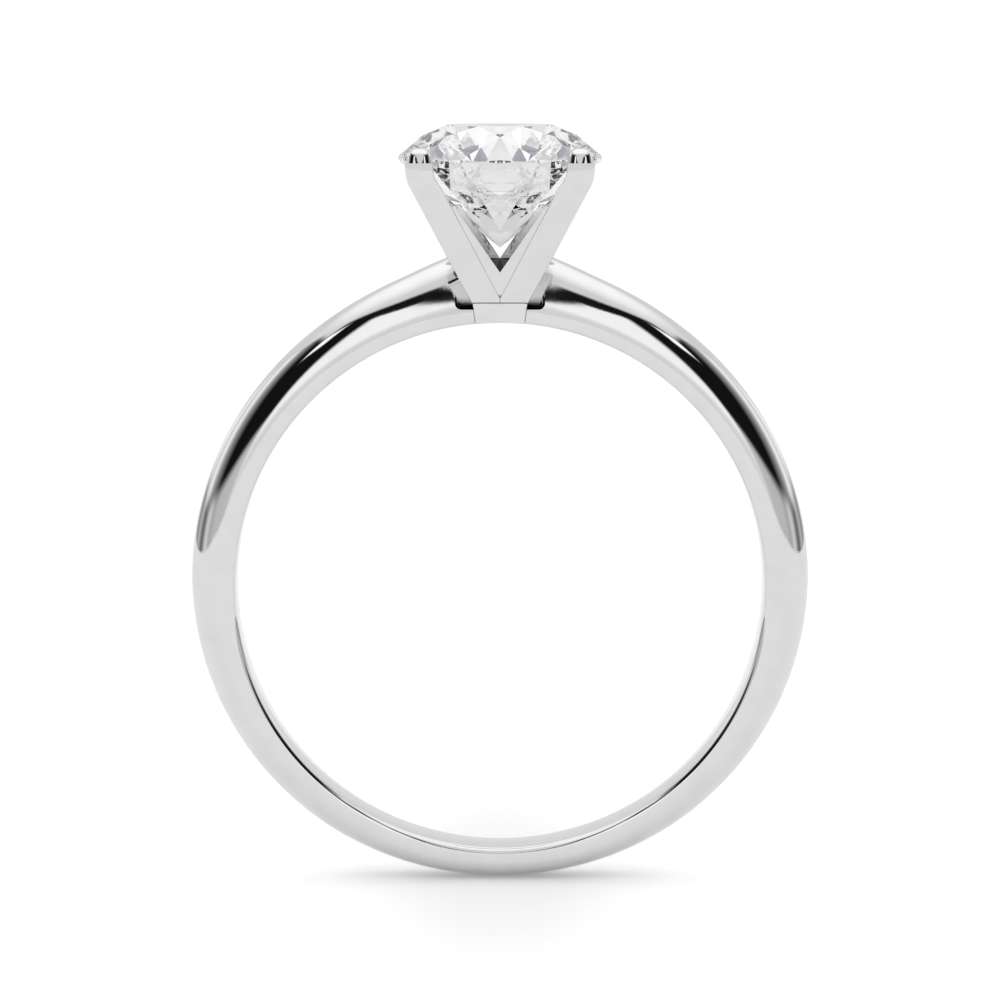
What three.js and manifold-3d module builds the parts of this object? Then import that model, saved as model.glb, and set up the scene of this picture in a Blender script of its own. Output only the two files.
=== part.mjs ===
// Engagement ring with one round brilliant stone. Millimetres, +Z up.
// The ring stands on the bottom of its band, the finger hole runs along Y, and the stone is on top.
import * as THREE from "three";
import { ConvexGeometry } from "three/addons/geometries/ConvexGeometry.js";
import { LoftGeometry } from "three/addons/geometries/LoftGeometry.js";
import { mergeVertices } from "three/addons/utils/BufferGeometryUtils.js";
import Module from "manifold-3d";

const wasm = await Module();
wasm.setup();

const { cos, max, PI, sin, sqrt, tan } = Math;
const radians = THREE.MathUtils.degToRad;

// Band
const BORE_DIAMETER = 16.5;
const BAND_WIDTH = 1.8;
const SIDE_FLAT = 0.42;
const INNER_EDGE = 0.08;
const BOTTOM_THICKNESS = 1.02;
const LOWER_THICKNESS = 1.165;
const SIDE_THICKNESS = 1.41;
const UPPER_THICKNESS = 1.57;
const SHOULDER_THICKNESS = 1.8;
const CREST_THICKNESS = 2.14;
const ROOT_THICKNESS = 2.7;
const BAND_STEPS = 88;
const DOME_STEPS = 10;

// Head: collar, gallery and prongs
const SOLDER_GAP = 0.02;
const COLLAR_HEIGHT = 0.63;
const COLLAR_TOP_WIDTH = 1.71;
const COLLAR_BOTTOM_WIDTH = 1.55;
const HEAD_BASE_WIDTH = 1.76;
const PRONG_WIDTH = 0.84;
const PRONG_CORNER = 0.05;
const PRONG_OFFSET = 0.315;
const PRONG_BEND = 0.5;
const PRONG_UPRIGHT = 0.3;
const TIP_DROP = 0.06;
const TIP_HEIGHT = 0.46;
const TIP_TURN = radians(82);
const TIP_ROUNDING = 0.2;
const PRONG_STEPS = 4;
const TIP_STEPS = 5;
const GALLERY_RECESS = 0.05;
const GALLERY_FOOT = 0.28;
const NOTCH_HEIGHT = 0.96;
const NOTCH_RISE = 0.36;
const NOTCH_TOP = 3.6;
const GALLERY_TOP = 3.05;

// Pockets that clear the prongs in the band's shoulders
const TONGUE_WIDTH = 1.26;
const POCKET_GAP = 0.42;
const POCKET_FLOOR = 0.43;
const POCKET_WALL = 0.41;

// Stone
const STONE_DIAMETER = 6.3;
const GIRDLE_THICKNESS = 0.12;
const TABLE_SHARE = 0.555;
const STAR_SHARE = 0.5;
const LOWER_HALF_SHARE = 0.78;
const CROWN_ANGLE = radians(34.5);
const PAVILION_ANGLE = radians(40.8);
const CULET_CLEARANCE = 0.33;
const SEAT_CLEARANCE = 0.02;
const GIRDLE_SIDES = 64;

// Heights and places that follow from the sizes
const BORE_RADIUS = BORE_DIAMETER / 2;
const BORE_CENTRE_Z = BOTTOM_THICKNESS + BORE_RADIUS;
const BORE_TOP_Z = BORE_CENTRE_Z + BORE_RADIUS;
const COLLAR_TOP_Z = BORE_TOP_Z + COLLAR_HEIGHT;
const HEAD_BASE_Z = COLLAR_TOP_Z + SOLDER_GAP;
const STONE_RADIUS = STONE_DIAMETER / 2;
const PAVILION_DEPTH = STONE_RADIUS * tan(PAVILION_ANGLE);
const CULET_Z = HEAD_BASE_Z + NOTCH_HEIGHT + NOTCH_RISE + CULET_CLEARANCE;
const GIRDLE_Z = CULET_Z + PAVILION_DEPTH + GIRDLE_THICKNESS / 2;
const PRONG_UPRIGHT_Z = GIRDLE_Z - PRONG_UPRIGHT;
const PRONG_BEND_Z = PRONG_UPRIGHT_Z - PRONG_BEND;
const PRONG_REACH = (STONE_RADIUS + PRONG_OFFSET) / Math.SQRT2 + PRONG_WIDTH / 2;
const HEAD_SLOPE =
  (PRONG_REACH - HEAD_BASE_WIDTH / 2) / (PRONG_UPRIGHT_Z - PRONG_BEND / 2 - HEAD_BASE_Z);

const MERGE_DISTANCE = 1e-4;

const WHITE_GOLD = { color: 0xdedee0, metalness: 1, roughness: 0.08 };
const DIAMOND = { color: 0xf2f4f7, metalness: 0, roughness: 0.02, transparent: true, opacity: 0.5 };

// A closed geometry as a solid that can be joined and cut.
function solid(geometry) {
  const bare = new THREE.BufferGeometry();
  bare.setAttribute("position", geometry.getAttribute("position"));
  bare.setIndex(geometry.getIndex());
  const merged = mergeVertices(bare, MERGE_DISTANCE);
  return new wasm.Manifold(
    new wasm.Mesh({
      numProp: 3,
      vertProperties: new Float32Array(merged.attributes.position.array),
      triVerts: new Uint32Array(merged.index.array),
    }),
  );
}

// A solid back as a geometry with a flat normal on each face.
function surface(shape) {
  const { vertProperties, triVerts } = shape.getMesh();
  const indexed = new THREE.BufferGeometry();
  indexed.setAttribute("position", new THREE.BufferAttribute(vertProperties, 3));
  indexed.setIndex(new THREE.BufferAttribute(triVerts, 1));
  const geometry = indexed.toNonIndexed();
  geometry.computeVertexNormals();
  return geometry;
}

// A block whose plan is a rectangle at each of two heights.
function block(low, high) {
  const corners = [];
  for (const { x, y, z } of [low, high]) {
    for (const px of x) {
      for (const py of y) {
        corners.push(new THREE.Vector3(px, py, z));
      }
    }
  }
  return new ConvexGeometry(corners);
}

// A square block on the Z axis that tapers from one half width to another.
function taper(lowZ, lowHalf, highZ, highHalf) {
  const low = { x: [-lowHalf, lowHalf], y: [-lowHalf, lowHalf], z: lowZ };
  const high = { x: [-highHalf, highHalf], y: [-highHalf, highHalf], z: highZ };
  return block(low, high);
}

// The band's thickness round the ring, in degrees from the top, through a few stations.
const STATIONS = [
  [0, ROOT_THICKNESS],
  [9, CREST_THICKNESS],
  [20, SHOULDER_THICKNESS],
  [45, UPPER_THICKNESS],
  [90, SIDE_THICKNESS],
  [140, LOWER_THICKNESS],
  [180, BOTTOM_THICKNESS],
];

// The slope at a station is that of the line between its neighbours, and level at the bottom.
function stationSlope(i) {
  if (i === STATIONS.length - 1) {
    return 0;
  }
  const before = STATIONS[max(i - 1, 0)];
  const after = STATIONS[i + 1];
  return (after[1] - before[1]) / (after[0] - before[0]);
}

function bandThickness(degrees) {
  const i = max(1, STATIONS.findIndex(([angle]) => angle >= degrees));
  const [a0, t0] = STATIONS[i - 1];
  const [a1, t1] = STATIONS[i];
  const span = a1 - a0;
  const u = (degrees - a0) / span;
  const bulge = u * (1 - u) * span;
  const blend = t0 + (t1 - t0) * u * u * (3 - 2 * u);
  return blend + bulge * ((1 - u) * stationSlope(i - 1) - u * stationSlope(i));
}

// The band's D section at one angle from the top: flat bore and sides, and a domed outside.
function bandSection(degrees) {
  const half = BAND_WIDTH / 2;
  const rise = bandThickness(180 - Math.abs(180 - degrees)) - SIDE_FLAT;
  const outline = [
    [half - INNER_EDGE, 0],
    [half, INNER_EDGE],
  ];
  for (let i = 0; i <= DOME_STEPS; i += 1) {
    const turn = (PI * i) / DOME_STEPS;
    outline.push([half * cos(turn), SIDE_FLAT + rise * sin(turn)]);
  }
  outline.push([-half, INNER_EDGE], [INNER_EDGE - half, 0]);
  const angle = radians(degrees);
  return outline.map(([y, height]) => {
    const radius = BORE_RADIUS + height;
    return new THREE.Vector3(radius * sin(angle), y, BORE_CENTRE_Z + radius * cos(angle));
  });
}

// The head's outer face leans out straight from the base, bends, and stands upright at the tip.
function faceSlope(z) {
  const bent = THREE.MathUtils.clamp((PRONG_UPRIGHT_Z - z) / PRONG_BEND, 0, 1);
  return HEAD_SLOPE * bent;
}

function outerFace(z) {
  if (z <= PRONG_BEND_Z) {
    return HEAD_BASE_WIDTH / 2 + HEAD_SLOPE * (z - HEAD_BASE_Z);
  }
  const toUpright = max(PRONG_UPRIGHT_Z - z, 0);
  return PRONG_REACH - (faceSlope(z) * toUpright) / 2;
}

// A prong's inner face: its bar's width from the outer face, or the mitre between the four bars.
function innerFace(z) {
  const level = PRONG_WIDTH * sqrt(1 + faceSlope(z) ** 2);
  return max(outerFace(z) - level, SOLDER_GAP / 2);
}

function bandGeometry() {
  const slotHalf = COLLAR_BOTTOM_WIDTH / 2;
  const first = THREE.MathUtils.radToDeg(slotHalf / (BORE_RADIUS + ROOT_THICKNESS)) / 2;
  const sections = [];
  for (let i = 0; i <= BAND_STEPS; i += 1) {
    sections.push(bandSection(first + ((360 - 2 * first) * i) / BAND_STEPS));
  }
  const band = new LoftGeometry(sections, { capStart: true, capEnd: true });
  let shape = solid(band);
  for (const cutter of [...headSlot(), ...prongPockets()]) {
    shape = shape.subtract(solid(cutter));
  }
  return surface(shape);
}

// The room for the collar between the band's ends, and for the head between its shoulders.
function headSlot() {
  const below = BORE_TOP_Z - SIDE_FLAT;
  const widthPerHeight = (COLLAR_TOP_WIDTH - COLLAR_BOTTOM_WIDTH) / COLLAR_HEIGHT;
  const collarHalf = (z) => (COLLAR_TOP_WIDTH + widthPerHeight * (z - COLLAR_TOP_Z)) / 2 + SOLDER_GAP;
  const above = GIRDLE_Z;
  const headHalf = HEAD_BASE_WIDTH / 2 + SOLDER_GAP;
  const topHalf = headHalf + HEAD_SLOPE * (above - HEAD_BASE_Z);
  const wide = BAND_WIDTH;
  const collar = block(
    { x: [-collarHalf(below), collarHalf(below)], y: [-wide, wide], z: below },
    { x: [-collarHalf(HEAD_BASE_Z), collarHalf(HEAD_BASE_Z)], y: [-wide, wide], z: HEAD_BASE_Z },
  );
  const head = block(
    { x: [-headHalf, headHalf], y: [-wide, wide], z: COLLAR_TOP_Z },
    { x: [-topHalf, topHalf], y: [-wide, wide], z: above },
  );
  return [collar, head];
}

// A pocket in front of and behind the shoulders' tongues, set off from the head all round.
function prongPockets() {
  const floor = BORE_TOP_Z + POCKET_FLOOR;
  const wall = floor + POCKET_WALL;
  const wallHalf = HEAD_BASE_WIDTH / 2 + HEAD_SLOPE * (wall - HEAD_BASE_Z) + POCKET_GAP;
  const above = GIRDLE_Z;
  const topHalf = wallHalf + HEAD_SLOPE * (above - wall);
  const cutters = [];
  for (const side of [-1, 1]) {
    const y = [(side * TONGUE_WIDTH) / 2, side * BAND_WIDTH];
    const low = { x: [-wallHalf, wallHalf], y, z: floor };
    const middle = { x: [-wallHalf, wallHalf], y, z: wall };
    const high = { x: [-topHalf, topHalf], y, z: above };
    cutters.push(block(low, middle), block(middle, high));
  }
  return cutters;
}

// The collar's foot is hollowed by the bore, so that it lies flush inside the ring.
function collarGeometry() {
  const deep = BORE_TOP_Z - SIDE_FLAT;
  const narrowing = (COLLAR_TOP_WIDTH - COLLAR_BOTTOM_WIDTH) / COLLAR_HEIGHT;
  const deepHalf = (COLLAR_BOTTOM_WIDTH - narrowing * SIDE_FLAT) / 2;
  const body = taper(deep, deepHalf, COLLAR_TOP_Z, COLLAR_TOP_WIDTH / 2);
  const bore = new THREE.CylinderGeometry(BORE_RADIUS, BORE_RADIUS, 2 * BAND_WIDTH, 4 * BAND_STEPS);
  bore.translate(0, 0, BORE_CENTRE_Z);
  return surface(solid(body).subtract(solid(bore)));
}

// A square with cut corners in a level plane, from the inner to the outer face along both axes.
function prongSection(inner, outer, z, cut) {
  const plan = [
    [inner + cut, inner],
    [outer - cut, inner],
    [outer, inner + cut],
    [outer, outer - cut],
    [outer - cut, outer],
    [inner + cut, outer],
    [inner, outer - cut],
    [inner, inner + cut],
  ];
  return plan.map(([x, y]) => new THREE.Vector3(x, y, z));
}

// A prong in the +X +Y corner. Skin is extra material all round, for the room it needs.
function prongBar(skin) {
  const sections = [];
  const addSection = (z, shrink, corner) => {
    const centre = (innerFace(z) + outerFace(z)) / 2;
    const half = ((outerFace(z) - innerFace(z)) / 2) * shrink;
    sections.push(prongSection(centre - half - skin, centre + half + skin, z, corner));
  };
  const barWidth = PRONG_WIDTH * sqrt(1 + HEAD_SLOPE ** 2);
  const mitreHeight = (barWidth + SOLDER_GAP / 2 - HEAD_BASE_WIDTH / 2) / HEAD_SLOPE;
  addSection(HEAD_BASE_Z, 1, PRONG_CORNER);
  if (mitreHeight > 0) {
    addSection(HEAD_BASE_Z + mitreHeight, 1, PRONG_CORNER);
  }
  const tipZ = GIRDLE_Z - TIP_DROP;
  for (let i = 0; i <= PRONG_STEPS; i += 1) {
    const z = PRONG_BEND_Z + ((PRONG_UPRIGHT_Z - PRONG_BEND_Z) * i) / PRONG_STEPS;
    addSection(z, 1, PRONG_CORNER);
  }
  addSection(tipZ, 1, PRONG_CORNER);
  for (let i = 1; i <= TIP_STEPS; i += 1) {
    const turn = (TIP_TURN * i) / TIP_STEPS;
    const corner = (PRONG_CORNER + TIP_ROUNDING * sin(turn)) * cos(turn);
    addSection(tipZ + TIP_HEIGHT * sin(turn), cos(turn), corner);
  }
  return new LoftGeometry(sections, { capStart: true, capEnd: true });
}

// The prong is cut by the stone, with a little play, so the girdle sits in its seat.
function prongGeometry() {
  const seat = stoneGeometry();
  const grow = 1 + SEAT_CLEARANCE / STONE_RADIUS;
  seat.translate(0, 0, -GIRDLE_Z);
  seat.scale(grow, grow, grow);
  seat.translate(0, 0, GIRDLE_Z);
  return surface(solid(prongBar(0)).subtract(solid(seat)));
}

// The wedge that opens the V notch in the head's +X side, rising towards the middle.
function notchWedge() {
  const face = outerFace(HEAD_BASE_Z + NOTCH_HEIGHT);
  const far = PRONG_REACH + GALLERY_RECESS;
  const risePerWidth = NOTCH_RISE / face;
  const middle = HEAD_BASE_Z + NOTCH_HEIGHT + NOTCH_RISE;
  const topZ = HEAD_BASE_Z + NOTCH_TOP;
  const half = innerFace(topZ);
  const points = [
    new THREE.Vector3(far, 0, middle - risePerWidth * far),
    new THREE.Vector3(0, 0, middle),
  ];
  for (const x of [0, far]) {
    for (const y of [-half, half]) {
      points.push(new THREE.Vector3(x, y, topZ), new THREE.Vector3(x, y, GIRDLE_Z));
    }
  }
  return new ConvexGeometry(points);
}

// The web between the four prongs, set back from their faces and notched in each side.
function galleryGeometry() {
  const footZ = HEAD_BASE_Z + GALLERY_FOOT;
  const topZ = HEAD_BASE_Z + GALLERY_TOP;
  const footHalf = outerFace(footZ) - GALLERY_RECESS;
  const topHalf = outerFace(topZ) - GALLERY_RECESS;
  let shape = solid(taper(footZ, footHalf, topZ, topHalf));
  for (let quarter = 0; quarter < 4; quarter += 1) {
    const angle = (quarter * PI) / 2;
    shape = shape.subtract(solid(prongBar(SOLDER_GAP).rotateZ(angle)));
    shape = shape.subtract(solid(notchWedge().rotateZ(angle)));
  }
  return surface(shape);
}

// A point at a radius and an angle round the Z axis.
function polar(radius, angle, z) {
  return new THREE.Vector3(radius * cos(angle), radius * sin(angle), z);
}

// The height at which the plane through three points crosses a vertical line.
function planeHeight([a, b, c], x, y) {
  const normal = new THREE.Vector3().crossVectors(b.clone().sub(a), c.clone().sub(a));
  return a.z - (normal.x * (x - a.x) + normal.y * (y - a.y)) / normal.z;
}

// The round brilliant: table, star, bezel and upper facets, a girdle, lower facets and mains.
function stoneGeometry() {
  const eighth = PI / 4;
  const sixteenth = PI / 8;
  const tableRadius = TABLE_SHARE * STONE_RADIUS;
  const crownZ = GIRDLE_Z + GIRDLE_THICKNESS / 2;
  const pavilionZ = GIRDLE_Z - GIRDLE_THICKNESS / 2;
  const tableZ = crownZ + (STONE_RADIUS - tableRadius) * tan(CROWN_ANGLE);
  const tableEdge = tableRadius * cos(sixteenth);
  const starRadius = tableEdge + STAR_SHARE * (STONE_RADIUS - tableEdge);
  const starZ = crownZ + (STONE_RADIUS - starRadius * cos(sixteenth)) * tan(CROWN_ANGLE);
  const lowerRadius = (1 - LOWER_HALF_SHARE) * STONE_RADIUS;
  const lowerDrop = (STONE_RADIUS - lowerRadius * cos(sixteenth)) * tan(PAVILION_ANGLE);
  const points = [new THREE.Vector3(0, 0, CULET_Z)];
  for (let i = 0; i < 8; i += 1) {
    points.push(polar(tableRadius, sixteenth + i * eighth, tableZ));
    points.push(polar(starRadius, i * eighth, starZ));
    points.push(polar(lowerRadius, i * eighth, pavilionZ - lowerDrop));
  }
  for (let i = 0; i < GIRDLE_SIDES; i += 1) {
    const angle = (2 * PI * i) / GIRDLE_SIDES;
    const corner = Math.floor((i * 16) / GIRDLE_SIDES);
    const ends = [corner * sixteenth, (corner + 1) * sixteenth];
    const star = corner % 2 === 0 ? ends[0] : ends[1];
    const { x, y } = polar(STONE_RADIUS, angle, 0);
    const upper = [polar(starRadius, star, starZ), ...ends.map((a) => polar(STONE_RADIUS, a, crownZ))];
    const lower = [
      polar(lowerRadius, star, pavilionZ - lowerDrop),
      ...ends.map((a) => polar(STONE_RADIUS, a, pavilionZ)),
    ];
    points.push(new THREE.Vector3(x, y, planeHeight(upper, x, y)));
    points.push(new THREE.Vector3(x, y, planeHeight(lower, x, y)));
  }
  return new ConvexGeometry(points);
}

const ring = new THREE.Group();

function addMesh(name, geometry, look) {
  const mesh = new THREE.Mesh(geometry, new THREE.MeshStandardMaterial(look));
  mesh.name = name;
  ring.add(mesh);
  return mesh;
}

addMesh("shank", bandGeometry(), WHITE_GOLD);
addMesh("head_collar", collarGeometry(), WHITE_GOLD);
addMesh("head_gallery", galleryGeometry(), WHITE_GOLD);
const PRONG_CORNERS = ["back_right", "back_left", "front_left", "front_right"];
PRONG_CORNERS.forEach((corner, quarter) => {
  const prong = addMesh(`prong_${corner}`, prongGeometry(), WHITE_GOLD);
  prong.rotation.z = (quarter * PI) / 2;
});
addMesh("stone", stoneGeometry(), DIAMOND);

export default ring;
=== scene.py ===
"""Solitaire engagement ring: the finished pieces, their metal and stone, and the studio round them."""

from math import atan2, cos, degrees, hypot, pi, radians, sin, sqrt, tan
from types import SimpleNamespace

import bmesh
import bpy
from bpy.props import FloatProperty, FloatVectorProperty, IntProperty, PointerProperty
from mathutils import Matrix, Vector


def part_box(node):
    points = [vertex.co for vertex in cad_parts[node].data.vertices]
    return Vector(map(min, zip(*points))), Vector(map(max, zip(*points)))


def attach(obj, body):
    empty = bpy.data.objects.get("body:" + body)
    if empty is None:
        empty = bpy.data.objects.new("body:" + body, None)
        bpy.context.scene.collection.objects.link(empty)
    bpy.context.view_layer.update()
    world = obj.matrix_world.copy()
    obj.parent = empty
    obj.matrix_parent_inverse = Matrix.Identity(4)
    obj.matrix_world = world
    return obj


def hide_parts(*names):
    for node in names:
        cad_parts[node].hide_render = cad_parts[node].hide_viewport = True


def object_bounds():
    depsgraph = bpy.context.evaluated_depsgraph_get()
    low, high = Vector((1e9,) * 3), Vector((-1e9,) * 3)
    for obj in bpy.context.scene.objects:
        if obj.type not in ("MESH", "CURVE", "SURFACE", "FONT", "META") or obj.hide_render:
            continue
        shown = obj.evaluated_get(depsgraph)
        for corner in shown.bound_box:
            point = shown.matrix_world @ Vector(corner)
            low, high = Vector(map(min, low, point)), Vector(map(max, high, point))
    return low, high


bl_info = {
    "name": "Solitaire Ring",
    "version": (1, 0, 0),
    "blender": (4, 5, 0),
    "location": "View3D > Sidebar > Ring",
    "description": "Makes a four-prong solitaire ring round its fixed frame",
    "category": "Add Mesh",
}

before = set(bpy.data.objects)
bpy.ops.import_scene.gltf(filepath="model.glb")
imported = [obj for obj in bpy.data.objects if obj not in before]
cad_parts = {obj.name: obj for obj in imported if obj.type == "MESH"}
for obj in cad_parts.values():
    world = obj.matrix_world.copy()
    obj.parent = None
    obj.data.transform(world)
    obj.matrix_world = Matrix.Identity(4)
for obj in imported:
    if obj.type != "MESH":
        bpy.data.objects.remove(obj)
CAD_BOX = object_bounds()

MM = 0.001

# In millimetres: what counts as the same place, how close points are merged, and how far a finished piece's
# corners may be from its frame's.
TINY = 0.0005
MERGE = 0.0002
FACET_MERGE = TINY / 5
WEDGE_MERGE = 3 * TINY
SLACK = 0.18

BEND_STEPS = 6
TIP_STEPS = 8
EDGE_STEPS = 3
RIM_STEPS = 4
POCKET_STEPS = 6

# How much painted shade darkens the pockets' walls at their top, and the prongs' inner faces at their foot.
POCKET_SHADE = 0.15
PRONG_SHADE = 0.12

QUARTERS = {"back_right": 0, "back_left": 1, "front_left": 2, "front_right": 3}


# -------- settings


def length(name, description, value):
    """A length that the panel shows in the scene's units, given here in millimetres."""
    return FloatProperty(
        name=name, description=description, default=value * MM, min=0.0, unit="LENGTH", precision=5
    )


def turn(name, description, value):
    """An angle, given here in degrees."""
    return FloatProperty(
        name=name, description=description, default=radians(value), subtype="ANGLE", unit="ROTATION"
    )


def share(name, description, value, high=1.0):
    """A plain number from 0 up."""
    return FloatProperty(name=name, description=description, default=value, min=0.0, max=high)


def colour(name, description, value):
    """A colour as red, green and blue."""
    return FloatVectorProperty(
        name=name, description=description, default=value, size=3, min=0.0, max=1.0, subtype="COLOR"
    )


def count(name, description, value, low):
    """A whole number of sections or facets."""
    return IntProperty(name=name, description=description, default=value, min=low)


class BandSettings(bpy.types.PropertyGroup):
    bore: length("Finger hole", "Diameter of the finger hole", 16.5)
    side_flat: length("Side flat", "Height of the flat on the band's sides", 0.42)
    inner_edge: length("Inner edge", "Radius that comforts the finger hole's rims", 0.19)
    root: length("Root", "Thickness at the very top", 2.7)
    crest: length("Crest", "Thickness where the shoulders meet the head", 2.14)
    shoulder: length("Shoulder", "Thickness 20 degrees from the top", 1.8)
    upper: length("Upper", "Thickness 45 degrees from the top", 1.57)
    side: length("Side", "Thickness at the sides", 1.41)
    lower: length("Lower", "Thickness 140 degrees from the top", 1.165)
    bottom: length("Bottom", "Thickness at the bottom", 1.02)
    steps: count("Steps round", "Sections round the band", 300, 24)
    dome_steps: count("Dome steps", "Facets over the dome", 32, 8)


class HeadSettings(bpy.types.PropertyGroup):
    gap: length("Solder gap", "Room between the collar and the head", 0.02)
    seam: length("Seam", "Room between pieces that stand side by side", 0.004)
    collar_top: length("Collar top", "Width of the collar's top", 1.71)
    collar_foot: length("Collar foot", "Width of the collar at the finger hole", 1.55)
    collar_edge: length("Collar edge", "Rounding of the collar's edges", 0.03)
    base: length("Head base", "Width of the four prongs together at the base", 1.76)
    prong: length("Prong", "Thickness of a prong, square across", 0.84)
    corner: length("Prong corner", "Rounding of the prongs' long edges", 0.022)
    bend: length("Bend", "Height over which the prongs turn upright", 0.5)
    upright: length("Upright", "Height of the upright part below the girdle", 0.3)
    tip_drop: length("Tip drop", "How far below the girdle the tips begin", 0.06)
    tip_height: length("Tip height", "Height of the domed tips", 0.455)
    tip_step: length("Tip step", "Ledge that the domed tips leave on the prongs", 0.012)
    tip_round: length("Tip round", "Rounding of the domed tips", 0.26)
    tip_lean: turn("Tip lean", "How far the sides of the tips lean in", 7)
    recess: length("Web recess", "How far the web is set back from the prongs", 0.01)
    notch_height: length("Notch", "Height of the V notch over the base", 0.96)
    notch_rise: length("Notch rise", "How far the notch climbs towards the middle", 0.36)
    notch_fall: share("Notch fall", "Slope of the V's foot behind its rim", 0.2)
    notch_top: length("Notch top", "Height over the base where the notch is widest", 3.6)
    tongue: length("Tongue", "Width of the shoulders' tongues between the prongs", 1.26)
    pocket_gap: length("Pocket gap", "Room that the pockets leave round the head", 0.42)
    pocket_floor: length("Pocket floor", "Height of the pockets' floor over the finger hole", 0.43)
    pocket_wall: length("Pocket wall", "Height of the pockets' upright wall", 0.41)
    pocket_round: length("Pocket round", "Radius of the graver that scoops the pockets", 0.2)


class StoneSettings(bpy.types.PropertyGroup):
    girdle: length("Girdle", "Thickness of the girdle", 0.12)
    table: share("Table", "Width of the table, as a share of the stone's", 0.555)
    star: share("Star", "Length of the star facets, as a share of the crown's slope", 0.5)
    lower_half: share("Lower halves", "Length of the lower facets, as a share of the pavilion's", 0.78)
    crown: turn("Crown angle", "Slope of the crown's main facets", 34.5)
    pavilion: turn("Pavilion angle", "Slope of the pavilion's main facets", 40.8)
    seat: length("Seat play", "Room between the stone and its seats", 0.02)
    sides: count("Girdle facets", "Facets round the girdle", 96, 32)


class FinishSettings(bpy.types.PropertyGroup):
    gold: colour("White gold", "Colour of the polished metal", (0.745, 0.745, 0.75))
    gold_worn: colour("Worn gold", "Colour of the metal where polishing lines show", (0.71, 0.71, 0.715))
    # Painted shade: the colour that darkens the metal deep in the crevices, standing in for their shade.
    crevice_shade: colour("Painted_shade", "Colour of the metal deep in the crevices", (0.02, 0.02, 0.017))
    gold_roughness: share("Polish", "Roughness of the metal, from mirror to satin", 0.035)
    diamond: colour("Diamond", "Colour of the stone", (1.0, 1.0, 1.0))
    diamond_ior: FloatProperty(
        name="Refraction", description="Refractive index of the stone", default=2.417, min=1.0
    )


class StageSettings(bpy.types.PropertyGroup):
    floor: colour("Floor", "Colour of the floor", (0.92, 0.92, 0.92))
    floor_glow: share("Floor glow", "Light that the white sweep gives off by itself", 0.16)
    # Painted light: the sweep glows whiter for the camera away from the ring.
    floor_lift: share("Floor lift", "Extra white of the sweep away from the ring, for the camera", 0.17)
    floor_gloss: share("Floor gloss", "Share of the floor's light that is a mirror image", 0.02)
    floor_width: length("Floor width", "Width of the floor", 600)
    lens: FloatProperty(name="Lens", description="Focal length of the camera, in millimetres", default=151.0)
    distance: length("Distance", "From the camera to the ring", 131.3)
    aim: length("Aim", "How far over the finger hole's middle the camera looks", 2.65)
    tilt: turn("Tilt", "How far the camera looks down", 6.75)
    overhead: share("Overhead light", "Brightness of the softbox above", 1.27, 10.0)
    overhead_edge: share("Overhead edge", "Brightness of the softbox at its rim", 0.82, 10.0)
    overhead_width: share("Overhead width", "Half the softbox's width, as a share of its height", 0.9, 5.0)
    overhead_front: share("Overhead front", "The softbox's reach forward, as a share of its height", 0.68, 5.0)
    walls: share("White walls", "Brightness of the walls at the sides and behind", 1.2, 10.0)
    card: share("Front card", "Brightness of the low white card under the camera", 0.85, 10.0)
    lamp: share("Small lamps", "Brightness of the two small lamps in front", 1.35, 10.0)
    room: share("Dark room", "Brightness of the dark room behind the camera", 0.008, 1.0)
    depth: colour("Stone depth", "What the stone makes of the dark room", (0.05, 0.045, 0.13))


# -------- working by hand, in millimetres


def millimetres(group):
    """The settings of a group by name, with every length in millimetres."""
    values = {}
    for name, prop in group.bl_rna.properties.items():
        if name in {"rna_type", "name"}:
            continue
        value = getattr(group, name)
        values[name] = value / MM if getattr(prop, "unit", "") == "LENGTH" else value
    return SimpleNamespace(**values)


def box_mm(node):
    low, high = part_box(node)
    return low / MM, high / MM


def settle(piece):
    """Makes a piece the only selected and active object."""
    if bpy.context.mode != "OBJECT":
        bpy.ops.object.mode_set(mode="OBJECT")
    bpy.ops.object.select_all(action="DESELECT")
    piece.select_set(True)
    bpy.context.view_layer.objects.active = piece


def start(name, primitive, **settings):
    """Adds a primitive with nothing else selected, and names it."""
    bpy.ops.object.select_all(action="DESELECT")
    primitive(**settings)
    piece = bpy.context.active_object
    piece.name = name
    piece.data.name = name
    bpy.ops.object.transform_apply(location=True, rotation=True, scale=True)
    return piece


def edit(piece):
    """Opens a piece for shaping."""
    settle(piece)
    bpy.ops.object.mode_set(mode="EDIT")


def done():
    """Puts the shaping away."""
    bpy.ops.object.mode_set(mode="OBJECT")


def pick_all():
    bpy.ops.mesh.select_all(action="SELECT")


def close_up(threshold):
    """Merges the doubled points of the open piece and turns its faces outwards."""
    pick_all()
    bpy.ops.mesh.remove_doubles(threshold=threshold)
    bpy.ops.mesh.normals_make_consistent(inside=False)


def pick(kind, test):
    """Selects the vertices, edges or faces whose middle passes the test, and says how many."""
    bpy.ops.mesh.select_mode(type=kind)
    bpy.ops.mesh.select_all(action="DESELECT")
    mesh = bmesh.from_edit_mesh(bpy.context.edit_object.data)
    found = 0
    for item in {"VERT": mesh.verts, "EDGE": mesh.edges, "FACE": mesh.faces}[kind]:
        if test(item):
            item.select_set(True)
            found += 1
    bmesh.update_edit_mesh(bpy.context.edit_object.data)
    return found


def middle(item):
    """The middle of an edge or face."""
    corners = [v.co for v in item.verts]
    return sum(corners, Vector()) / len(corners)


def faces_up(face):
    return face.normal.z > 0.9


def faces_down(face):
    return face.normal.z < -0.9


def clamp(value, low=0, high=1):
    return min(max(value, low), high)


def apply_modifier(piece, kind, **settings):
    """Adds a modifier with the given settings and applies it."""
    settle(piece)
    modifier = piece.modifiers.new(kind.title(), kind)
    for name, value in settings.items():
        setattr(modifier, name, value)
    bpy.ops.object.modifier_apply(modifier=modifier.name)


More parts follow.
